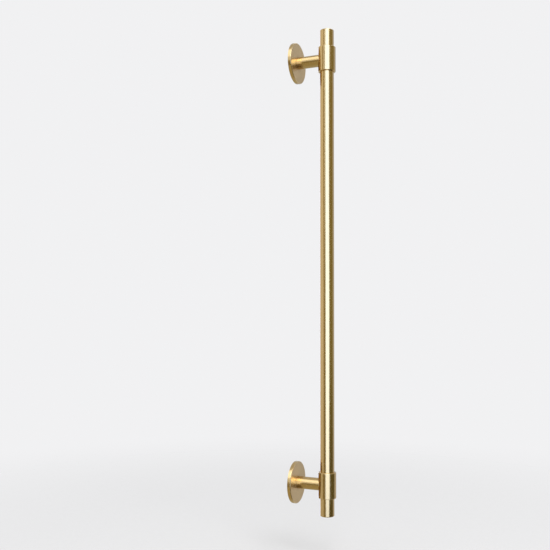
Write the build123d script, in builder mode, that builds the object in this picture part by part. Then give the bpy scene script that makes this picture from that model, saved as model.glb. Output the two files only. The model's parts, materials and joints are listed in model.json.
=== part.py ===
"""Door pull handle: a round bar held off the door by two collars, each on a post with a round rose.

Frame: the door face is the plane Y = 0. The bar stands along Z in front of it, towards -Y, and the
origin lies on the door face, midway between the two fixing centres. Sizes are in millimetres.
"""
import os

from build123d import *

# Layout of the whole pull
fixing_centres = 600.0  # from one post's axis to the other's
standoff = 48.5  # from the door face to the bar's axis

# Bar: solid round stock that runs through both collars
bar_diameter = 20.0
bar_overhang = 24.75  # free end of the bar beyond each collar
bar_end_bevel = 0.8

# Collars: plain sleeves that slide on the bar
collar_wall = 2.5
collar_length = 35.5
collar_end_bevel = 0.5
sliding_clearance = 0.05  # radial gap between the bar and a collar's bore

# Posts: turned legs, coped to the collar at one end and stepped into the rose at the other
post_diameter = 17.0
collar_spigot_diameter = 12.0  # reduced end that is soldered into the collar's wall
rose_spigot_diameter = 13.0  # reduced end that centres the rose
spigot_clearance = 0.05  # radial gap round both spigots
spigot_setback = 0.2  # the post stops this far short of the door, so that the rose is clamped
stud_core_diameter = 6.8  # the door stud's coarse 8 mm thread is a plain wall at its core
stud_thread_depth = 27.0  # from the door face
stud_mouth_bevel = 0.7

# Roses: turned discs with a relieved back, so that only the outer ring bears on the door
rose_diameter = 58.0
rose_thickness = 5.0
rose_front_bevel = 0.6
rose_relief_depth = 1.0
rose_ring_width = 6.0

# Locking screws: headless, with a dog point that enters the bar and a hexagon socket at the other end
screw_core_diameter = 5.0  # the screw's coarse 6 mm thread is a plain wall at its core
thread_clearance = 0.05  # radial gap between a screw's core and the post's tapped wall
screw_thread_length = 9.0
screw_end_bevel = 0.4
dog_diameter = 4.0
dog_length = 4.0
dog_depth = 3.5  # how far the dog point enters the bar
dog_clearance = 0.05  # radial gap round the dog point in the bar's hole
socket_width = 3.0  # across the flats
socket_depth = 3.5

# Radii and lengths that follow from the sizes above
bar_radius = bar_diameter / 2
bore_radius = bar_radius + sliding_clearance
collar_radius = bore_radius + collar_wall
post_radius = post_diameter / 2
collar_spigot_radius = collar_spigot_diameter / 2
rose_spigot_radius = rose_spigot_diameter / 2
rose_radius = rose_diameter / 2
stud_radius = stud_core_diameter / 2
screw_radius = screw_core_diameter / 2
tapped_radius = screw_radius + thread_clearance
dog_radius = dog_diameter / 2
dog_hole_radius = dog_radius + dog_clearance
bar_length = fixing_centres + collar_length + 2 * bar_overhang
dog_tip = standoff - bar_radius + dog_depth  # distance of the dog point's end face from the door

fixing_heights = {"upper": fixing_centres / 2, "lower": -fixing_centres / 2}


def post_plane(height):
    """Plane on the door face at a fixing centre, with its normal along the post towards the bar."""
    return Plane(origin=(0, 0, height), x_dir=(1, 0, 0), z_dir=(0, -1, 0))


def bar_plane(height):
    """Level plane at a height, with its origin on the bar's axis."""
    return Plane(origin=(0, -standoff, height))


def collar_plane(height):
    """Level plane at the lower end of the collar whose middle is at a height."""
    return bar_plane(height - collar_length / 2)


def finish(piece, name):
    """Label a finished piece and write it out under its own name."""
    piece.part.label = name
    export_step(piece.part, f"parts/{name}.step")


os.makedirs("parts", exist_ok=True)

# Bar, with a blind hole for each locking screw's dog point
with BuildPart() as bar:
    with BuildSketch(bar_plane(-bar_length / 2)):
        Circle(bar_radius)
    extrude(amount=bar_length)
    chamfer(bar.edges().filter_by(GeomType.CIRCLE), bar_end_bevel)
    for height in fixing_heights.values():
        with BuildSketch(post_plane(height).offset(dog_tip)):
            Circle(dog_hole_radius)
        extrude(amount=-dog_tip, mode=Mode.SUBTRACT)
finish(bar, "bar")

for side, height in fixing_heights.items():
    door = post_plane(height)

    # Collar, with a cross hole in its wall for the post's spigot
    with BuildPart() as collar:
        with BuildSketch(collar_plane(height)):
            Circle(collar_radius)
        extrude(amount=collar_length)
        chamfer(collar.edges().filter_by(GeomType.CIRCLE), collar_end_bevel)
        with BuildSketch(collar_plane(height)):
            Circle(bore_radius)
        extrude(amount=collar_length, mode=Mode.SUBTRACT)
        with BuildSketch(door):
            Circle(collar_spigot_radius + spigot_clearance)
        extrude(amount=standoff, mode=Mode.SUBTRACT)
    finish(collar, f"{side}_collar")

    # Post, coped to the collar, with its spigot flush with the collar's bore and a stepped tapped hole
    with BuildPart() as post:
        with BuildSketch(door.offset(spigot_setback)):
            Circle(rose_spigot_radius)
        extrude(amount=rose_thickness - spigot_setback)
        with BuildSketch(door.offset(rose_thickness)):
            Circle(post_radius)
        extrude(amount=standoff - rose_thickness)
        with BuildSketch(bar_plane(height)):
            Circle(collar_radius)
        extrude(amount=post_diameter, both=True, mode=Mode.SUBTRACT)
        with BuildSketch(door.offset(rose_thickness)):
            Circle(collar_spigot_radius)
        extrude(amount=standoff - rose_thickness)
        with BuildSketch(bar_plane(height)):
            Circle(bore_radius)
        extrude(amount=post_diameter, both=True, mode=Mode.SUBTRACT)
        with BuildSketch(door):
            Circle(stud_radius)
        extrude(amount=stud_thread_depth, mode=Mode.SUBTRACT)
        with BuildSketch(door):
            Circle(tapped_radius)
        extrude(amount=standoff, mode=Mode.SUBTRACT)
        mouth = post.edges().filter_by(GeomType.CIRCLE).group_by(Axis.Y)[-1].sort_by(SortBy.RADIUS)[0]
        chamfer(mouth, stud_mouth_bevel)
    finish(post, f"{side}_post")

    # Rose, with a centre hole for the post's spigot and a relieved back
    with BuildPart() as rose:
        with BuildSketch(door):
            Circle(rose_radius)
        extrude(amount=rose_thickness)
        chamfer(rose.edges().group_by(Axis.Y)[0], rose_front_bevel)
        with BuildSketch(door):
            Circle(rose_radius - rose_ring_width)
        extrude(amount=rose_relief_depth, mode=Mode.SUBTRACT)
        with BuildSketch(door):
            Circle(rose_spigot_radius + spigot_clearance)
        extrude(amount=rose_thickness, mode=Mode.SUBTRACT)
    finish(rose, f"{side}_rose")

    # Locking screw, driven down the post until its dog point sits in the bar
    with BuildPart() as screw:
        with BuildSketch(door.offset(dog_tip)):
            Circle(dog_radius)
        extrude(amount=-dog_length)
        with BuildSketch(door.offset(dog_tip - dog_length)):
            Circle(screw_radius)
        extrude(amount=-screw_thread_length)
        chamfer(screw.edges().filter_by(GeomType.CIRCLE).group_by(Axis.Y)[-1], screw_end_bevel)
        with BuildSketch(door.offset(dog_tip - dog_length - screw_thread_length)):
            RegularPolygon(socket_width / 2, side_count=6, major_radius=False)
        extrude(amount=socket_depth, mode=Mode.SUBTRACT)
    finish(screw, f"{side}_locking_screw")
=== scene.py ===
"""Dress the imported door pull: finely turned satin-brass pieces, threaded locking screws and a studio.

The file is laid out as a Blender add-on, with one operator for each piece or pair of like pieces.
Lengths are in metres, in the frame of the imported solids: the mounting face is Y = 0, the bar runs along
Z in front of it, towards -Y, and the two posts stand at the fixing heights.
"""
import json
import math

import bmesh
import bpy
from bpy.props import FloatProperty, FloatVectorProperty, IntProperty, PointerProperty
from mathutils import Matrix, Vector


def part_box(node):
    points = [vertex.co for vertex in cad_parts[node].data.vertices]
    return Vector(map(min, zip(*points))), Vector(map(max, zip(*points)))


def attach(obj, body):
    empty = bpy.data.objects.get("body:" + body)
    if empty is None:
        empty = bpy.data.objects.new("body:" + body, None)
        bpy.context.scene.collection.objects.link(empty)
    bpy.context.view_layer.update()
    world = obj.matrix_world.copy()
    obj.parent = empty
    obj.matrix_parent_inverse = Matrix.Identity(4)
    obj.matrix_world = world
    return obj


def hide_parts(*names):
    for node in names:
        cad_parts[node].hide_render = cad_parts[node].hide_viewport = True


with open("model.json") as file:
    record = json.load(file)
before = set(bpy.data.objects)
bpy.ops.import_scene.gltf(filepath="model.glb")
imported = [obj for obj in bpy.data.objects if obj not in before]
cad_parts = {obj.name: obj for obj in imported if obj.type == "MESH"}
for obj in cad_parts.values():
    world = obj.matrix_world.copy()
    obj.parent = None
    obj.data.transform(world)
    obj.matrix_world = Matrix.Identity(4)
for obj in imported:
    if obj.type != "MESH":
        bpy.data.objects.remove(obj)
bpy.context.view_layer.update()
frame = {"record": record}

bl_info = {
    "name": "Door Pull",
    "version": (1, 0, 0),
    "blender": (4, 5, 0),
    "location": "3D View > Sidebar > Door Pull",
    "description": "Turns the pieces of a brass door pull and sets them in a studio",
    "category": "Object",
}

MM = 0.001
X, Y, Z = 0, 1, 2


def extent(node, axis):
    """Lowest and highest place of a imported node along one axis."""
    low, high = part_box(node)
    return low[axis], high[axis]


def width(node, axis):
    """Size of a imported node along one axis."""
    low, high = extent(node, axis)
    return high - low


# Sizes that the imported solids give
FIXINGS = next(mount for mount in frame["record"]["mounts"] if mount["name"] == "door_fixings")
FIXING_HEIGHT = FIXINGS["dims"]["spacing_y_mm"] / 2 * MM
FIXING_SIDES = {"upper": FIXING_HEIGHT, "lower": -FIXING_HEIGHT}
STANDOFF = -sum(extent("upper_collar", Y)) / 2
BAR_RADIUS = width("bar", X) / 2
BAR_HALF_LENGTH = width("bar", Z) / 2
COLLAR_RADIUS = width("upper_collar", X) / 2
COLLAR_HALF_LENGTH = width("upper_collar", Z) / 2
POST_RADIUS = width("upper_post", X) / 2
POST_SETBACK = -extent("upper_post", Y)[1]
ROSE_RADIUS = width("upper_rose", X) / 2
ROSE_THICKNESS = width("upper_rose", Y)
STUD_CORE_RADIUS = FIXINGS["dims"]["hole_r_mm"] * MM
SCREW_CORE_RADIUS = width("upper_locking_screw", X) / 2
SCREW_REAR = -extent("upper_locking_screw", Y)[1]
SCREW_TIP = -extent("upper_locking_screw", Y)[0]

# How the meshes are made
SHARP_ANGLE = math.radians(50)  # edges that turn more than this stay sharp
WELD_DISTANCE = 0.001 * MM
LEAST_PITCH = 0.01 * MM  # stands in for the pitch where a point has no thread
THREAD_FLAT = 0.125  # share of a thread's height that is cut off at its crest and again at its root
THREAD_STEPS = 8  # profile points in one pitch
CORNER_STEPS = 4  # pieces of the curve in a softened corner
CORNER_SHARE = 0.2  # largest share of an edge that a softened corner takes up
BAR_RING_SPACING = 1.5 * MM  # between the rings of the bar where it is drilled
COLLAR_RING_SPACING = 1.2 * MM
SADDLE_RUN = 1.5 * MM  # length of the coped row of faces at the end of a post's wall
FINISH_MARKS = ("wear", "tarnish", "polish")  # marks of a profile point that the finish reads
SHOULDER_RINGS = (0.66, 0.33, 0.0)  # rings across a post's coped shoulder, as shares of its width
SCREW_THREAD_INSET = 0.5 * MM  # from the bar's surface back to the end of a post's inner thread
FLOOR_CORNERS = 64
DOME_SEGMENTS = 72

# Patterns of the finish, with scales in cells to a metre
CLOUD_SCALE = 28.0
SPECK_SCALE = 900.0
FLOOR_GRAIN_SCALE = 220.0
NOISE_MEAN = 0.5
BROAD_LINE_SHARE = 0.06  # broad tool lines to each fine one
FINE_LINE_TONE = 0.1
BROAD_LINE_TONE = 0.02
TURNED_MOTTLE = 0.12
FACED_MOTTLE = 0.4
FLOOR_GRAIN_TONE = 0.03
# Painted shade: how strongly the corner mark browns and darkens the colour where a post meets its rose,
# partly tarnish and partly painted shade for that corner
TARNISH_AND_SHADE_STRENGTH = 0.2
LEAST_RUB = 0.35  # how far a rubbed edge is brightened between its specks
SPECK_RUB = 0.5  # how much further at a full speck
CLOUD_DULLING = 0.06  # what clouds and tarnish add to the roughness
TARNISH_DULLING = 0.06
RUB_POLISH = 0.05  # what rubbing and a rose's smoother rim take off it
RIM_POLISH = 0.16
LINE_DEPTH = 0.01 * MM
LINE_STRENGTH = 0.06

# Colours in the light that the metal mirrors
KEY_PANEL = (1.75, 2.34, 4.05)
LOW_PANEL = (1.8, 2.25, 3.6)
HIGH_PANEL = (1.9, 2.4, 3.8)
FAR_PANEL = (1.5, 1.7, 2.6)
STRIP_PANEL = (1.3, 1.4, 1.6)
TOP_PANEL = (1.7, 1.8, 2.1)
TOP_FILL = (0.55, 0.55, 0.55)
PALE_SIDE = (0.8, 0.79, 0.79)
LOW_SIDE = (0.66, 0.64, 0.6)
GREY_SIDE = (0.56, 0.59, 0.68)
DARK_GAP = (0.33, 0.275, 0.13)
GROUND_SIDE = (0.44, 0.4, 0.27)

# That light in spans, each with its first and last heading in degrees and its colour. A span blends
# into the next one. Heading 0 is in front of the pull and -90 to its left.
SIDE_LIGHT = (
    (-180, -131, PALE_SIDE),
    (-126, -96, DARK_GAP),
    (-90, -38, KEY_PANEL),
    (-32, 28, (0.28, 0.26, 0.12)),
    (40, 120, GREY_SIDE),
    (124, 146, FAR_PANEL),
    (150, 150, (0.7, 0.7, 0.72)),
    (180, 180, PALE_SIDE),
)
LOW_LIGHT = (
    (-180, -131, LOW_SIDE),
    (-126, -95, (0.22, 0.18, 0.08)),
    (-87, -44, LOW_PANEL),
    (-37, 28, (0.12, 0.11, 0.05)),
    (40, 120, GREY_SIDE),
    (124, 146, FAR_PANEL),
    (150, 150, (0.6, 0.6, 0.6)),
    (180, 180, LOW_SIDE),
)
HIGH_LIGHT = (
    (-180, -180, PALE_SIDE),
    (-136, -136, (0.86, 0.84, 0.78)),
    (-130, -130, (0.31, 0.25, 0.1)),
    (-115, -115, (0.28, 0.225, 0.09)),
    (-112, -108, STRIP_PANEL),
    (-105, -98, DARK_GAP),
    (-92, -43, KEY_PANEL),
    (-36, -36, (0.28, 0.24, 0.1)),
    (28, 28, (0.28, 0.25, 0.11)),
    (40, 120, GREY_SIDE),
    (124, 146, FAR_PANEL),
    (150, 150, (0.7, 0.7, 0.72)),
    (180, 180, PALE_SIDE),
)
TOP_LIGHT = (
    (-180, -152, TOP_FILL),
    (-145, -78, TOP_PANEL),
    (-68, -30, HIGH_PANEL),
    (-20, 80, TOP_FILL),
    (86, 104, TOP_PANEL),
    (110, 180, TOP_FILL),
)
GROUND_LIGHT = (
    (-180, -180, GROUND_SIDE),
    (-98, -98, (0.42, 0.37, 0.22)),
    (-92, -50, (0.28, 0.29, 0.32)),
    (-42, 28, (0.1, 0.085, 0.03)),
    (40, 92, (0.55, 0.55, 0.57)),
    (98, 98, (0.48, 0.5, 0.45)),
    (180, 180, GROUND_SIDE),
)
# Each light above or below the level one, between the elevations in degrees where it starts and is full
LIGHT_BANDS = (
    (-2, -13, LOW_LIGHT),
    (2, 12, HIGH_LIGHT),
    (24, 29, TOP_LIGHT),
    (-15.5, -18.5, GROUND_LIGHT),
)


def length(name, description, default, least=0.0):
    """Setting for a length."""
    return FloatProperty(
        name=name, description=description, default=default, min=least, unit="LENGTH", precision=5)


def tint(name, description, default):
    """Setting for a colour."""
    return FloatVectorProperty(
        name=name, description=description, default=default, size=3, min=0.0, max=1.0, subtype="COLOR")


def share(name, description, default):
    """Setting for a value from 0 to 1."""
    return FloatProperty(
        name=name, description=description, default=default, min=0.0, max=1.0, subtype="FACTOR")


class PullSizes(bpy.types.PropertyGroup):
    """Sizes of the turned pieces that their outer boxes don't give."""

    bar_end_bevel: length("Bar end bevel", "Bevel at both ends of the bar", 0.8 * MM)
    collar_end_bevel: length("Collar end bevel", "Outer bevel at both ends of a collar", 0.5 * MM)
    sliding_clearance: length("Sliding clearance", "Gap between the bar and a collar's bore", 0.05 * MM)
    spigot_clearance: length("Spigot clearance", "Gap round both spigots of a post", 0.05 * MM)
    thread_clearance: length(
        "Thread clearance", "Gap between a locking screw's core and the post's inner thread", 0.05 * MM)
    dog_clearance: length("Dog point clearance", "Gap round a dog point in the bar", 0.05 * MM)
    collar_spigot_radius: length(
        "Collar spigot radius", "Reduced end of a post, soldered into the collar's wall", 6.0 * MM)
    rose_spigot_radius: length(
        "Rose spigot radius", "Reduced end of a post that centres the rose", 6.5 * MM)
    rose_front_bevel: length("Rose front bevel", "Bevel round a rose's front face", 0.6 * MM)
    rose_relief_depth: length("Rose relief depth", "Depth of the hollow in a rose's back", 1.0 * MM)
    rose_ring_width: length(
        "Rose ring width", "Width of the ring that bears on the mounting face", 6.0 * MM)
    stud_thread_depth: length(
        "Stud thread depth", "Depth of the stud's thread in a post, from the mounting face", 27.0 * MM)
    stud_mouth_bevel: length("Stud mouth bevel", "Bevel where the stud's thread opens", 0.7 * MM)
    stud_pitch: length("Stud pitch", "Pitch of the stud's thread", 1.25 * MM, 0.1 * MM)
    stud_groove: length("Stud groove", "Height of the stud's thread over its core", 0.65 * MM)
    screw_pitch: length("Screw pitch", "Pitch of the locking screw's thread", 1.0 * MM, 0.1 * MM)
    screw_groove: length("Screw groove", "Height of the locking screw's thread over its core", 0.5 * MM)
    screw_end_bevel: length(
        "Screw end bevel", "Bevel at the socket end of a locking screw", 0.4 * MM)
    dog_radius: length(
        "Dog point radius", "Plain point of a locking screw that enters the bar", 2.0 * MM)
    dog_length: length("Dog point length", "Length of a locking screw's plain point", 4.0 * MM)
    socket_half_width: length(
        "Socket half width", "Half the distance across a hexagon socket's flats", 1.5 * MM)
    socket_depth: length("Socket depth", "Depth of a hexagon socket", 3.5 * MM)
    edge_softness: length(
        "Edge softness", "Rounding of the turned edges by handling and polish", 0.12 * MM)
    # Painted shade: the corner mark darkens this reach, partly as tarnish and partly as painted shade in
    # the corner
    corner_reach: length(
        "Corner reach", "How far tarnish reaches from the corner between a post and its rose", 5.0 * MM)
    segments: IntProperty(
        name="Segments", description="Facets round a turned piece, a multiple of six",
        default=144, min=24)


class PullFinish(bpy.types.PropertyGroup):
    """Colours and gloss of the metals."""

    brass: tint("Brass", "Colour of the satin brass", (0.66, 0.465, 0.205))
    faced_brass: tint(
        "Faced brass", "Colour of the flat-turned roses, a little paler", (0.69, 0.49, 0.225))
    rubbed_brass: tint("Rubbed brass", "Brighter brass on edges that are rubbed", (0.85, 0.66, 0.33))
    # Painted shade: this browned colour in the corner between a post and its rose is partly tarnish and
    # partly painted shade for that corner
    tarnish: tint(
        "Tarnish", "Browned brass in corners that a polishing wheel can't reach", (0.28, 0.175, 0.07))
    steel: tint("Steel", "Colour of the locking screws", (0.45, 0.45, 0.46))
    bar_roughness: share("Bar roughness", "Roughness of the bar, collars and posts", 0.2)
    rose_roughness: share("Rose roughness", "Roughness of the roses", 0.36)
    steel_roughness: share("Steel roughness", "Roughness of the locking screws", 0.34)
    line_spacing: length(
        "Line spacing", "Typical distance between the fine turned lines", 0.15 * MM, 0.01 * MM)


class PullStudio(bpy.types.PropertyGroup):
    """Camera, floor, backdrop, lamp and the dome that the metal mirrors."""

    camera_place: FloatVectorProperty(
        name="Camera place", description="Where the camera stands",
        default=(-1.0321, -0.4164, -0.0616), size=3, subtype="TRANSLATION", precision=4)
    camera_turn: FloatVectorProperty(
        name="Camera turn", description="The camera's pitch, roll and heading",
        default=(math.radians(92.81), math.radians(-0.135), math.radians(-66.55)),
        size=3, subtype="EULER")
    sensor_width: FloatProperty(
        name="Sensor width", description="Width of the camera's sensor in millimetres",
        default=36.0, min=1.0, unit="CAMERA")
    lens: FloatProperty(
        name="Lens", description="Focal length in millimetres",
        default=50.85, min=1.0, unit="CAMERA")
    near_limit: length("Near limit", "Distance from which the camera sees", 0.01)
    backdrop: tint("Backdrop", "Plain pale colour all round", (0.88, 0.88, 0.89))
    floor: tint("Floor", "Colour of the pale floor", (0.78, 0.78, 0.78))
    floor_drop: length("Floor drop", "Distance from the bar's lower end down to the floor", 0.06)
    floor_radius: length(
        "Floor radius", "Radius at which the floor has faded into the backdrop", 1.1, 0.1)
    floor_fade: share("Floor fade", "Share of the floor's radius at which it starts to fade", 0.3)
    lamp_place: FloatVectorProperty(
        name="Lamp place", description="Where the soft lamp hangs",
        default=(-1.3, -1.1, 1.9), size=3, subtype="TRANSLATION")
    lamp_size: length("Lamp size", "Width of the soft lamp", 1.6)
    lamp_power: FloatProperty(
        name="Lamp power", description="Power of the soft lamp in watts",
        default=22.0, min=0.0, unit="POWER")
    dome_radius: length("Dome radius", "Radius of the dome that the metal mirrors", 20.0)


class Field:
    """One output socket of a node; arithmetic on it adds Math nodes to the same tree."""

    def __init__(self, tree, socket):
        self.tree = tree
        self.socket = socket

    def __getitem__(self, name):
        return Field(self.tree, self.socket.node.outputs[name])

    def __add__(self, other):
        return self.tree.maths("ADD", self, other)

    def __sub__(self, other):
        return self.tree.maths("SUBTRACT", self, other)

    def __mul__(self, other):
        return self.tree.maths("MULTIPLY", self, other)

    def __truediv__(self, other):
        return self.tree.maths("DIVIDE", self, other)

    def __mod__(self, other):
        return self.tree.maths("FLOORED_MODULO", self, other)

    def __gt__(self, other):
        return self.tree.maths("GREATER_THAN", self, other)

    def __rsub__(self, other):
        return self.tree.maths("SUBTRACT", other, self)

    def __rtruediv__(self, other):
        return self.tree.maths("DIVIDE", other, self)

    __radd__ = __add__
    __rmul__ = __mul__


class Tree:
    """Fills one node tree; every node in it comes from node()."""

    def __init__(self, tree):
        self.tree = tree
        tree.nodes.clear()

    def node(self, kind, settings=None, sockets=None, output=0):
        """Add a node with its settings first, then its sockets' values or links, and give one output."""
        made = self.tree.nodes.new(kind)
        for key, value in (settings or {}).items():
            if key == "stops":
                self.set_stops(made.color_ramp, value)
            else:
                setattr(made, key, value)
        for key, value in (sockets or {}).items():
            if isinstance(value, Field):
                self.tree.links.new(value.socket, made.inputs[key])
            else:
                made.inputs[key].default_value = value
        return Field(self, made.outputs[output]) if made.outputs else None

    @staticmethod
    def set_stops(ramp, stops):
        """Give a ramp these stops, each a place from 0 to 1 and a colour."""
        while len(ramp.elements) < len(stops):
            ramp.elements.new(1.0)
        for element, (place, colour) in zip(ramp.elements, stops):
            element.position = place
            element.color = (*colour, 1.0)

    def maths(self, operation, *values):
        """One Math node on values and sockets."""
        return self.node("ShaderNodeMath", {"operation": operation}, dict(enumerate(values)))

    def clamped(self, value):
        """A value held between 0 and 1."""
        return self.node("ShaderNodeMath", {"operation": "ADD", "use_clamp": True}, {0: value, 1: 0.0})

    def attribute(self, name):
        """A value that is stored on the mesh under this name, for a shader."""
        return self.node("ShaderNodeAttribute", {"attribute_name": name})["Fac"]

    def mixed(self, factor, first, second):
        """Two colours mixed by a factor."""
        sockets = {"Factor": factor, "A": first, "B": second}
        return self.node("ShaderNodeMix", {"data_type": "RGBA"}, sockets, output=2)

    def from_axis(self, split):
        """Distance from the Z axis, for split coordinates."""
        return self.maths("SQRT", split["X"] * split["X"] + split["Y"] * split["Y"])


def lathe_tree():
    """Geometry Nodes lathe: turns a row of profile points round local Z into a closed skin.

    A profile point's X is its radius and its Z its height. Its marks add what plain turning can't:
    pitch and depth cut a thread, hexagon makes a six-sided socket, and saddle copes the point to a
    cylinder of that radius that lies across the axis at the standoff; a coped point's height counts
    from there.
    """
    group = bpy.data.node_groups.new("lathe", "GeometryNodeTree")
    tree = Tree(group)
    group.interface.new_socket("Geometry", in_out="OUTPUT", socket_type="NodeSocketGeometry")
    inputs = {"Profile": "Geometry", "Segments": "Int", "Standoff": "Float", "Metal": "Material"}
    for name, kind in inputs.items():
        group.interface.new_socket(name, in_out="INPUT", socket_type=f"NodeSocket{kind}")
    given = tree.node("NodeGroupInput")
    profile, segments = given["Profile"], given["Segments"]

    size = tree.node("GeometryNodeAttributeDomainSize", {"component": "MESH"}, {"Geometry": profile})
    count = size["Point Count"]
    index = tree.node("GeometryNodeInputIndex")
    column = index % count
    turn = (index - column) / count / segments
    angle = turn * math.tau

    def along_profile(value):
        return tree.node("GeometryNodeSampleIndex", {"data_type": "FLOAT", "domain": "POINT"},
                         {"Geometry": profile, "Value": value, "Index": column})

    def mark(name):
        stored = tree.node("GeometryNodeInputNamedAttribute", {"data_type": "FLOAT"}, {"Name": name})
        return along_profile(stored)

    place = tree.node("ShaderNodeSeparateXYZ", None, {0: tree.node("GeometryNodeInputPosition")})
    height = along_profile(place["Z"])
    pitch, saddle = mark("pitch"), mark("saddle")

    # Thread: a clipped triangle wave that climbs one pitch with each turn
    phase = tree.maths("FRACT", height / tree.maths("MAXIMUM", pitch, LEAST_PITCH) - turn + 1.0)
    ridge = 1.0 - tree.maths("ABSOLUTE", phase * 2.0 - 1.0)
    cut = tree.clamped((ridge - THREAD_FLAT) / (1 - 2 * THREAD_FLAT)) * mark("depth")

    # Socket: the distance from the axis to a hexagon's side, for a half width of one
    sixth = math.tau / 6
    side = 1.0 / tree.maths("COSINE", angle % sixth - sixth / 2)
    hexagon = 1.0 + mark("hexagon") * (side - 1.0)
    radius = (along_profile(place["X"]) + cut) * hexagon

    # Saddle: how far the cylinder's surface lies from the mounting face at this distance off its axis
    across = radius * tree.maths("COSINE", angle)
    sink = tree.maths("SQRT", tree.maths("MAXIMUM", saddle * saddle - across * across, 0.0))
    coped = height + (saddle > 0.0) * (given["Standoff"] - sink)

    around = radius * tree.maths("SINE", angle)
    spot = tree.node("ShaderNodeCombineXYZ", None, {"X": across, "Y": around, "Z": coped})
    skin = tree.node("GeometryNodeMeshGrid", None, {"Vertices X": segments + 1, "Vertices Y": count})
    for name in FINISH_MARKS:
        skin = tree.node("GeometryNodeStoreNamedAttribute", {"data_type": "FLOAT", "domain": "POINT"},
                         {"Geometry": skin, "Name": name, "Value": mark(name)})
    skin = tree.node("GeometryNodeSetPosition", None, {"Geometry": skin, "Position": spot})
    skin = tree.node("GeometryNodeMergeByDistance", None, {"Geometry": skin, "Distance": WELD_DISTANCE})
    skin = tree.node("GeometryNodeSetShadeSmooth", None, {"Geometry": skin})
    skin = tree.node("GeometryNodeRealizeInstances", None, {"Geometry": skin})
    skin = tree.node("GeometryNodeSetMaterial", None, {"Geometry": skin, "Material": given["Metal"]})
    tree.node("NodeGroupOutput", None, {"Geometry": skin})
    return group


class Profile:
    """Outline of a turned piece: points in order, each with a radius, a height and the lathe's marks."""

    MARKS = ("pitch", "depth", "hexagon", "saddle", *FINISH_MARKS)
    CORNER_MARKS = ("saddle", "polish")  # what a softened corner passes on to its points

    def __init__(self):
        self.points = []

    def to(self, radius, height, soft=0.0, **marks):
        """Go on to a corner; soft rounds it by that much and marks it as rubbed."""
        self.points.append({"place": Vector((radius, height)), "soft": soft, **marks})
        return self

    def thread(self, radius, start, end, pitch, depth):
        """Go along a threaded wall from one height to another, with a plain run-out at both ends."""
        steps = max(2, round(abs(end - start) / pitch * THREAD_STEPS))
        for step in range(steps + 1):
            height = start + (end - start) * step / steps
            run_out = min(1.0, abs(height - start) / pitch, abs(end - height) / pitch)
            self.to(radius, height, pitch=pitch, depth=depth * run_out)
        return self

    def wall(self, radius, start, end, spacing):
        """Go along a plain wall in even steps, so that a hole in it only changes the faces near it."""
        steps = max(1, round(abs(end - start) / spacing))
        for step in range(steps + 1):
            self.to(radius, start + (end - start) * step / steps)
        return self

    def softened(self):
        """The points, with each soft corner replaced by a small curve between two holding points."""
        rounded = []
        befores = self.points[-1:] + self.points
        afters = self.points[1:] + self.points[:1]
        for before, corner, after in zip(befores, self.points, afters):
            if not corner["soft"]:
                rounded.append(corner)
                continue
            place = corner["place"]
            back = before["place"] - place
            ahead = after["place"] - place
            reach = min(corner["soft"], back.length * CORNER_SHARE, ahead.length * CORNER_SHARE)
            back.normalize()
            ahead.normalize()
            marks = {key: corner[key] for key in self.CORNER_MARKS if key in corner}
            rounded.append({**marks, "place": place + back * reach * 2})
            for step in range(CORNER_STEPS + 1):
                along = step / CORNER_STEPS
                bend = back * (1 - along) ** 2 + ahead * along ** 2
                rounded.append({**marks, "place": place + bend * reach, "wear": 1.0})
            rounded.append({**marks, "place": place + ahead * reach * 2})
        return rounded

    def mesh(self, name, closed):
        """The profile as a row of marked points; a closed one ends where it starts."""
        points = self.softened()
        if closed:
            points.append(points[0])
        made = bpy.data.meshes.new(name)
        made.from_pydata([(point["place"][0], 0.0, point["place"][1]) for point in points], [], [])
        for mark in self.MARKS:
            stored = made.attributes.new(mark, "FLOAT", "POINT")
            stored.data.foreach_set("value", [point.get(mark, 0.0) for point in points])
        return made


def plain_mesh(shaped):
    """What an object's modifiers make of it, as a plain mesh."""
    depsgraph = bpy.context.evaluated_depsgraph_get()
    return bpy.data.meshes.new_from_object(shaped.evaluated_get(depsgraph))


def turn_piece(name, profile, metal, place, closed=False):
    """Turn a profile on the lathe and put the piece in its place in the frame."""
    lathe = bpy.data.node_groups.get("lathe") or lathe_tree()
    blank = bpy.data.objects.new(name, profile.mesh(f"{name}_profile", closed))
    bpy.context.collection.objects.link(blank)
    modifier = blank.modifiers.new("lathe", "NODES")
    modifier.node_group = lathe
    segments = bpy.context.scene.pull_sizes.segments
    settings = {"Segments": segments, "Standoff": STANDOFF, "Metal": metal}
    for item in lathe.interface.items_tree:
        if item.in_out == "INPUT" and item.name in settings:
            modifier[item.identifier] = settings[item.name]
    skin = plain_mesh(blank)
    blank.modifiers.remove(modifier)
    blank.data = skin
    skin.name = name

    shape = bmesh.new()
    shape.from_mesh(skin)
    bmesh.ops.recalc_face_normals(shape, faces=shape.faces)
    shape.to_mesh(skin)
    shape.free()
    skin.transform(place)
    skin.set_sharp_from_angle(angle=SHARP_ANGLE)
    return blank


def drill(piece, radius, bottom, top, height):
    """Drill a round hole along Y at a fixing height, between two distances from the mounting face.

    The cutter is turned by half a facet, so that its corners miss those of the piece.
    """
    cutter_profile = Profile().to(0, bottom).to(radius, bottom).to(radius, top).to(0, top)
    half_facet = Matrix.Rotation(math.pi / bpy.context.scene.pull_sizes.segments, 4, "Z")
    place = along_post(height) @ half_facet
    cutter = turn_piece("cutter", cutter_profile, piece.data.materials[0], place)
    modifier = piece.modifiers.new("hole", "BOOLEAN")
    modifier.object = cutter
    modifier.solver = "EXACT"
    drilled = plain_mesh(piece)
    piece.modifiers.remove(modifier)
    piece.data = drilled
    drilled.name = piece.name
    drilled.set_sharp_from_angle(angle=SHARP_ANGLE)
    bpy.data.objects.remove(cutter)


def along_bar(height):
    """Lathe axis on the bar's axis, with heights counted from a height on the bar."""
    return Matrix.Translation((0, -STANDOFF, height))


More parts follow.
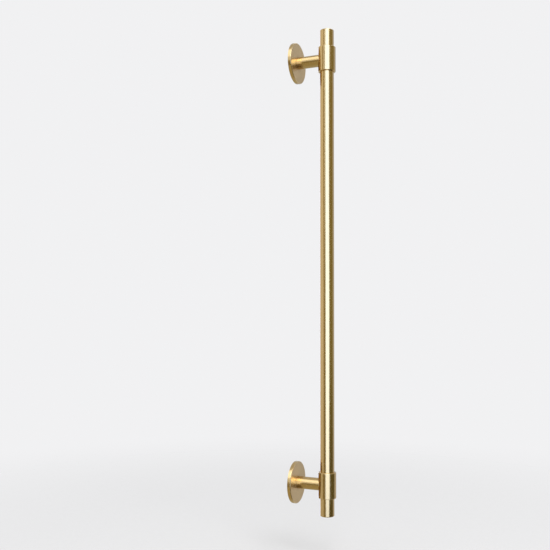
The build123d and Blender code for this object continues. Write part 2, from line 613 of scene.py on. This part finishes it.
def along_post(height):
    """Lathe axis on a post's axis, with heights counted from the mounting face towards the bar."""
    return Matrix.Translation((0, 0, height)) @ Matrix.Rotation(math.radians(90), 4, "X")


def settle(piece, node):
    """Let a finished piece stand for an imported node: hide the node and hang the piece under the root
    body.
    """
    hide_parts(node)
    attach(piece, "root")


def metal(name, colour, rubbed, roughness, mottle, lines):
    """Turned metal: fine tool lines, cloudy tone, brighter rubbed edges, smoother rims, and corners
    browned partly by tarnish and partly by painted shade.

    mottle is the strength of the cloudy tone. lines takes the tree and the split object coordinates and
    gives the value that the tool lines follow.
    """
    finish = bpy.context.scene.pull_finish
    material = bpy.data.materials.new(name)
    material.use_nodes = True
    tree = Tree(material.node_tree)
    place = tree.node("ShaderNodeTexCoord")["Object"]
    split = tree.node("ShaderNodeSeparateXYZ", None, {0: place})
    along = lines(tree, split)

    fine = tree.node("ShaderNodeTexNoise", {"noise_dimensions": "1D"},
                     {"W": along, "Scale": 1 / finish.line_spacing, "Detail": 4.0, "Roughness": 0.65})
    broad = tree.node("ShaderNodeTexNoise", {"noise_dimensions": "1D"},
                      {"W": along, "Scale": BROAD_LINE_SHARE / finish.line_spacing, "Detail": 2.0})
    clouds = tree.node("ShaderNodeTexNoise", None,
                       {"Vector": place, "Scale": CLOUD_SCALE, "Detail": 3.0, "Roughness": 0.55})
    specks = tree.node("ShaderNodeTexNoise", None,
                       {"Vector": place, "Scale": SPECK_SCALE, "Detail": 2.0})
    wear, tarnish, polish = (tree.attribute(mark) for mark in FINISH_MARKS)

    cloudy = clouds - NOISE_MEAN
    lined = (fine - NOISE_MEAN) * FINE_LINE_TONE - (broad - NOISE_MEAN) * BROAD_LINE_TONE
    tone = 1.0 + lined + cloudy * mottle
    shaded = tree.node("ShaderNodeVectorMath", {"operation": "SCALE"}, {0: colour, "Scale": tone})
    rub = tree.clamped(wear * (LEAST_RUB + specks * SPECK_RUB))
    toned = tree.mixed(rub, shaded, (*rubbed, 1.0))
    # Painted shade: the corner mark browns the colour where a post meets its rose, partly as tarnish and
    # partly as the shade that falls in that corner
    toned = tree.mixed(tarnish * TARNISH_AND_SHADE_STRENGTH, toned, (*finish.tarnish, 1.0))
    dulled = cloudy * CLOUD_DULLING + tarnish * TARNISH_DULLING
    gloss = roughness + dulled - rub * RUB_POLISH - polish * RIM_POLISH
    bump = tree.node("ShaderNodeBump", None,
                     {"Strength": LINE_STRENGTH, "Distance": LINE_DEPTH, "Height": fine})
    surface = tree.node("ShaderNodeBsdfPrincipled", None,
                        {"Base Color": toned, "Metallic": 1.0, "Roughness": gloss, "Normal": bump})
    tree.node("ShaderNodeOutputMaterial", None, {"Surface": surface})
    return material


def shared_metal(name):
    """One of the pull's metals, made when it is first asked for."""
    if name in bpy.data.materials:
        return bpy.data.materials[name]
    finish = bpy.context.scene.pull_finish

    def along_z(tree, split):
        return split["Z"]

    def along_y(tree, split):
        return split["Y"]

    def from_fixing(tree, split):
        rise = tree.maths("ABSOLUTE", split["Z"]) - FIXING_HEIGHT
        return tree.maths("SQRT", split["X"] * split["X"] + rise * rise) + split["Y"]

    turned = (finish.brass, finish.rubbed_brass, finish.bar_roughness, TURNED_MOTTLE)
    faced = (finish.faced_brass, finish.rubbed_brass, finish.rose_roughness, FACED_MOTTLE)
    steel = (finish.steel, finish.steel, finish.steel_roughness, TURNED_MOTTLE)
    recipes = {
        "bar_brass": (*turned, along_z),
        "post_brass": (*turned, along_y),
        "rose_brass": (*faced, from_fixing),
        "screw_steel": (*steel, along_y),
    }
    return metal(name, *recipes[name])


class PULL_OT_bar(bpy.types.Operator):
    """Turn the long bar and drill its two holes for the locking screws"""

    bl_idname = "pull.bar"
    bl_label = "Turn Bar"

    def execute(self, context):
        sizes = context.scene.pull_sizes
        end, bevel = BAR_HALF_LENGTH, sizes.bar_end_bevel
        soft = sizes.edge_softness
        profile = Profile().to(0, -end)
        profile.to(BAR_RADIUS - bevel, -end, soft).to(BAR_RADIUS, bevel - end, soft)
        for height in (-FIXING_HEIGHT, FIXING_HEIGHT):
            start, stop = height - COLLAR_HALF_LENGTH, height + COLLAR_HALF_LENGTH
            profile.wall(BAR_RADIUS, start, stop, BAR_RING_SPACING)
        profile.to(BAR_RADIUS, end - bevel, soft).to(BAR_RADIUS - bevel, end, soft)
        profile.to(0, end)
        bar = turn_piece("turned_bar", profile, shared_metal("bar_brass"), along_bar(0))
        hole = sizes.dog_radius + sizes.dog_clearance
        for height in FIXING_SIDES.values():
            drill(bar, hole, STANDOFF - COLLAR_RADIUS, SCREW_TIP, height)
        settle(bar, "bar")
        return {"FINISHED"}


class PULL_OT_collars(bpy.types.Operator):
    """Turn the two sleeves and drill the hole for each post's spigot"""

    bl_idname = "pull.collars"
    bl_label = "Turn Collars"

    def execute(self, context):
        sizes = context.scene.pull_sizes
        bore = BAR_RADIUS + sizes.sliding_clearance
        hole = sizes.collar_spigot_radius + sizes.spigot_clearance
        end, bevel = COLLAR_HALF_LENGTH, sizes.collar_end_bevel
        soft = sizes.edge_softness
        for side, height in FIXING_SIDES.items():
            profile = Profile().to(bore, -end, soft)
            profile.to(COLLAR_RADIUS - bevel, -end, soft).to(COLLAR_RADIUS, bevel - end, soft)
            profile.wall(COLLAR_RADIUS, 2 * bevel - end, end - 2 * bevel, COLLAR_RING_SPACING)
            profile.to(COLLAR_RADIUS, end - bevel, soft).to(COLLAR_RADIUS - bevel, end, soft)
            profile.to(bore, end, soft)
            profile.wall(bore, end - 2 * bevel, 2 * bevel - end, COLLAR_RING_SPACING)
            brass = shared_metal("bar_brass")
            collar = turn_piece(f"{side}_sleeve", profile, brass, along_bar(height), closed=True)
            drill(collar, hole, ROSE_THICKNESS, STANDOFF, height)
            settle(collar, f"{side}_collar")
        return {"FINISHED"}


class PULL_OT_posts(bpy.types.Operator):
    """Turn the two posts, coped to the collars, with the stud's thread and the screw's thread inside"""

    bl_idname = "pull.posts"
    bl_label = "Turn Posts"

    def execute(self, context):
        sizes = context.scene.pull_sizes
        soft = sizes.edge_softness
        spigot = sizes.collar_spigot_radius
        bore = BAR_RADIUS + sizes.sliding_clearance
        tapped = SCREW_CORE_RADIUS + sizes.thread_clearance
        inner_end = STANDOFF - BAR_RADIUS - SCREW_THREAD_INSET
        step = sizes.stud_thread_depth
        mouth = POST_SETBACK + sizes.stud_mouth_bevel
        for side, height in FIXING_SIDES.items():
            profile = Profile().to(sizes.rose_spigot_radius, POST_SETBACK, soft)
            profile.to(sizes.rose_spigot_radius, ROSE_THICKNESS)
            # The post's root carries the corner mark: partly tarnish and partly painted shade
            profile.to(POST_RADIUS, ROSE_THICKNESS, tarnish=1.0)
            profile.to(POST_RADIUS, ROSE_THICKNESS + sizes.corner_reach)
            profile.to(POST_RADIUS, STANDOFF - COLLAR_RADIUS - 2 * SADDLE_RUN)
            profile.to(POST_RADIUS, -SADDLE_RUN, saddle=COLLAR_RADIUS)
            profile.to(POST_RADIUS, 0, soft, saddle=COLLAR_RADIUS)
            for ring in SHOULDER_RINGS:
                profile.to(spigot + ring * (POST_RADIUS - spigot), 0, saddle=COLLAR_RADIUS)
            profile.to(spigot, 0, saddle=bore).to(tapped, 0, saddle=bore)
            profile.thread(tapped, inner_end, step, sizes.screw_pitch, sizes.screw_groove)
            profile.thread(STUD_CORE_RADIUS, step, mouth, sizes.stud_pitch, sizes.stud_groove)
            profile.to(STUD_CORE_RADIUS + sizes.stud_mouth_bevel, POST_SETBACK, soft)
            brass = shared_metal("post_brass")
            post = turn_piece(f"{side}_leg", profile, brass, along_post(height), closed=True)
            settle(post, f"{side}_post")
        return {"FINISHED"}


class PULL_OT_roses(bpy.types.Operator):
    """Turn the two roses with their centre holes and relieved backs"""

    bl_idname = "pull.roses"
    bl_label = "Turn Roses"

    def execute(self, context):
        sizes = context.scene.pull_sizes
        soft = sizes.edge_softness
        hole = sizes.rose_spigot_radius + sizes.spigot_clearance
        bevel = sizes.rose_front_bevel
        ring = ROSE_RADIUS - sizes.rose_ring_width
        for side, height in FIXING_SIDES.items():
            # The ring round the post carries the corner mark: partly tarnish and partly painted shade
            profile = Profile().to(hole, ROSE_THICKNESS).to(POST_RADIUS, ROSE_THICKNESS, tarnish=1.0)
            profile.to(POST_RADIUS + sizes.corner_reach, ROSE_THICKNESS)
            profile.to(ROSE_RADIUS - bevel, ROSE_THICKNESS, soft)
            profile.to(ROSE_RADIUS, ROSE_THICKNESS - bevel, soft, polish=1.0)
            profile.to(ROSE_RADIUS, 0, soft, polish=1.0).to(ring, 0, soft)
            profile.to(ring, sizes.rose_relief_depth).to(hole, sizes.rose_relief_depth)
            brass = shared_metal("rose_brass")
            rose = turn_piece(f"{side}_disc", profile, brass, along_post(height), closed=True)
            settle(rose, f"{side}_rose")
        return {"FINISHED"}


class PULL_OT_screws(bpy.types.Operator):
    """Turn the two locking screws with thread, dog point and hexagon socket"""

    bl_idname = "pull.screws"
    bl_label = "Turn Locking Screws"

    def execute(self, context):
        sizes = context.scene.pull_sizes
        soft = sizes.edge_softness
        core = SCREW_CORE_RADIUS
        bevel_end = SCREW_REAR + sizes.screw_end_bevel
        shoulder = SCREW_TIP - sizes.dog_length
        floor = SCREW_REAR + sizes.socket_depth
        for side, height in FIXING_SIDES.items():
            profile = Profile().to(0, floor)
            profile.to(sizes.socket_half_width, floor, hexagon=1.0)
            profile.to(sizes.socket_half_width, SCREW_REAR, hexagon=1.0)
            profile.to(core - sizes.screw_end_bevel, SCREW_REAR, soft)
            profile.thread(core, bevel_end, shoulder, sizes.screw_pitch, sizes.screw_groove)
            profile.to(sizes.dog_radius, shoulder)
            profile.to(sizes.dog_radius, SCREW_TIP, soft).to(0, SCREW_TIP)
            steel = shared_metal("screw_steel")
            screw = turn_piece(f"{side}_set_screw", profile, steel, along_post(height))
            settle(screw, f"{side}_locking_screw")
        return {"FINISHED"}


def stage_mesh(name, corners, faces, material):
    """A plain mesh object of the studio, not a part of the pull."""
    mesh = bpy.data.meshes.new(name)
    mesh.from_pydata(corners, [], faces)
    mesh.materials.append(material)
    made = bpy.data.objects.new(name, mesh)
    bpy.context.collection.objects.link(made)
    return made


def by_heading(tree, heading, light):
    """Colour of a light at a heading, where the heading runs from 0 to 1 round the dome."""
    stops = {}
    for start, end, colour in light:
        stops[start] = colour
        stops[end] = colour
    places = [((angle + 180) / 360, colour) for angle, colour in stops.items()]
    return tree.node("ShaderNodeValToRGB", {"stops": places}, {"Fac": heading})


class PULL_OT_stage(bpy.types.Operator):
    """Set the camera, backdrop, floor, lamp and mirrored dome"""

    bl_idname = "pull.stage"
    bl_label = "Set Stage"

    def execute(self, context):
        studio = context.scene.pull_studio
        context.scene.view_settings.view_transform = "Standard"
        self.set_camera(context, studio)
        self.set_world(context, studio)
        self.set_floor(studio)
        self.set_lamp(context, studio)
        self.set_surround(studio)
        return {"FINISHED"}

    def set_camera(self, context, studio):
        """The camera that takes the picture."""
        data = bpy.data.cameras.new("camera")
        data.lens = studio.lens
        data.sensor_width = studio.sensor_width
        data.clip_start = studio.near_limit
        camera = bpy.data.objects.new("camera", data)
        camera.location = studio.camera_place
        camera.rotation_euler = studio.camera_turn
        context.collection.objects.link(camera)
        context.scene.camera = camera

    def set_world(self, context, studio):
        """An even pale backdrop, which also lights the floor."""
        world = bpy.data.worlds.new("backdrop")
        world.use_nodes = True
        tree = Tree(world.node_tree)
        colour = (*studio.backdrop, 1.0)
        pale = tree.node("ShaderNodeBackground", None, {"Color": colour, "Strength": 1.0})
        tree.node("ShaderNodeOutputWorld", None, {"Surface": pale})
        context.scene.world = world

    def set_floor(self, studio):
        """A round matt floor that fades into the backdrop and that the metal doesn't mirror."""
        material = bpy.data.materials.new("pale_floor")
        material.use_nodes = True
        tree = Tree(material.node_tree)
        place = tree.node("ShaderNodeTexCoord")["Object"]
        split = tree.node("ShaderNodeSeparateXYZ", None, {0: place})
        away = tree.from_axis(split) / studio.floor_radius
        faded = tree.node("ShaderNodeMapRange", {"interpolation_type": "SMOOTHSTEP"},
                          {"Value": away, "From Min": studio.floor_fade, "From Max": 1.0})
        grain = tree.node("ShaderNodeTexNoise", None,
                          {"Vector": place, "Scale": FLOOR_GRAIN_SCALE, "Detail": 3.0})
        tone = tree.node("ShaderNodeVectorMath", {"operation": "SCALE"},
                         {0: studio.floor, "Scale": 1.0 + (grain - NOISE_MEAN) * FLOOR_GRAIN_TONE})
        matt = tree.node("ShaderNodeBsdfDiffuse", None, {"Color": tone})
        clear = tree.node("ShaderNodeBsdfTransparent")
        mixed = tree.node("ShaderNodeMixShader", None, {0: faded, 1: matt, 2: clear})
        tree.node("ShaderNodeOutputMaterial", None, {"Surface": mixed})

        level = -BAR_HALF_LENGTH - studio.floor_drop
        reach = studio.floor_radius
        corners = []
        for step in range(FLOOR_CORNERS):
            turn = math.tau * step / FLOOR_CORNERS
            corners.append((reach * math.cos(turn), reach * math.sin(turn), level))
        floor = stage_mesh("floor", corners, [tuple(range(FLOOR_CORNERS))], material)
        floor.visible_glossy = False

    def set_lamp(self, context, studio):
        """A large soft lamp, aimed at the origin."""
        data = bpy.data.lights.new("soft_lamp", "AREA")
        data.shape = "SQUARE"
        data.size = studio.lamp_size
        data.energy = studio.lamp_power
        lamp = bpy.data.objects.new("soft_lamp", data)
        lamp.location = studio.lamp_place
        lamp.rotation_euler = Vector(studio.lamp_place).to_track_quat("Z", "Y").to_euler()
        lamp.visible_camera = False
        context.collection.objects.link(lamp)

    def set_surround(self, studio):
        """A far dome that only the metal mirrors: bright panels, dim sides and a darker lower part."""
        material = bpy.data.materials.new("surround_glow")
        material.use_nodes = True
        tree = Tree(material.node_tree)
        split = tree.node("ShaderNodeSeparateXYZ", None, {0: tree.node("ShaderNodeTexCoord")["Object"]})
        rise = tree.maths("ARCTAN2", split["Z"], tree.from_axis(split)) / math.radians(90)
        heading = tree.maths("ARCTAN2", split["X"], -1.0 * split["Y"]) / math.tau + 0.5
        colour = by_heading(tree, heading, SIDE_LIGHT)
        for first, full, light in LIGHT_BANDS:
            shown = tree.node("ShaderNodeMapRange", {"interpolation_type": "SMOOTHSTEP"},
                              {"Value": rise, "From Min": first / 90, "From Max": full / 90})
            colour = tree.mixed(shown, colour, by_heading(tree, heading, light))
        glow = tree.node("ShaderNodeEmission", None, {"Color": colour, "Strength": 1.0})
        tree.node("ShaderNodeOutputMaterial", None, {"Surface": glow})
        material.cycles.emission_sampling = "NONE"

        dome = stage_mesh("surround", [], [], material)
        shape = bmesh.new()
        bmesh.ops.create_uvsphere(
            shape, u_segments=DOME_SEGMENTS, v_segments=DOME_SEGMENTS // 2, radius=studio.dome_radius)
        shape.to_mesh(dome.data)
        shape.free()
        for rays in ("camera", "diffuse", "transmission", "volume_scatter", "shadow"):
            setattr(dome, f"visible_{rays}", False)


class PULL_PT_sidebar(bpy.types.Panel):
    """Lists the pull's operators and settings"""

    bl_label = "Door Pull"
    bl_space_type = "VIEW_3D"
    bl_region_type = "UI"
    bl_category = "Door Pull"

    def draw(self, context):
        for operator in OPERATORS:
            self.layout.operator(operator.bl_idname)
        for name in SETTINGS:
            settings = getattr(context.scene, name)
            box = self.layout.box()
            for setting in settings.__annotations__:
                box.prop(settings, setting)


OPERATORS = (PULL_OT_bar, PULL_OT_collars, PULL_OT_posts, PULL_OT_roses, PULL_OT_screws, PULL_OT_stage)
SETTINGS = {"pull_sizes": PullSizes, "pull_finish": PullFinish, "pull_studio": PullStudio}


def register():
    """Add the settings, operators and panel to Blender."""
    for kind in (*SETTINGS.values(), *OPERATORS, PULL_PT_sidebar):
        bpy.utils.register_class(kind)
    for name, kind in SETTINGS.items():
        setattr(bpy.types.Scene, name, PointerProperty(type=kind))


def unregister():
    """Take them out again."""
    for name in SETTINGS:
        delattr(bpy.types.Scene, name)
    for kind in reversed((*SETTINGS.values(), *OPERATORS, PULL_PT_sidebar)):
        bpy.utils.unregister_class(kind)


def main():
    """Make every piece and the stage."""
    register()
    bpy.ops.pull.bar()
    bpy.ops.pull.collars()
    bpy.ops.pull.posts()
    bpy.ops.pull.roses()
    bpy.ops.pull.screws()
    bpy.ops.pull.stage()


if __name__ == "__main__":
    main()
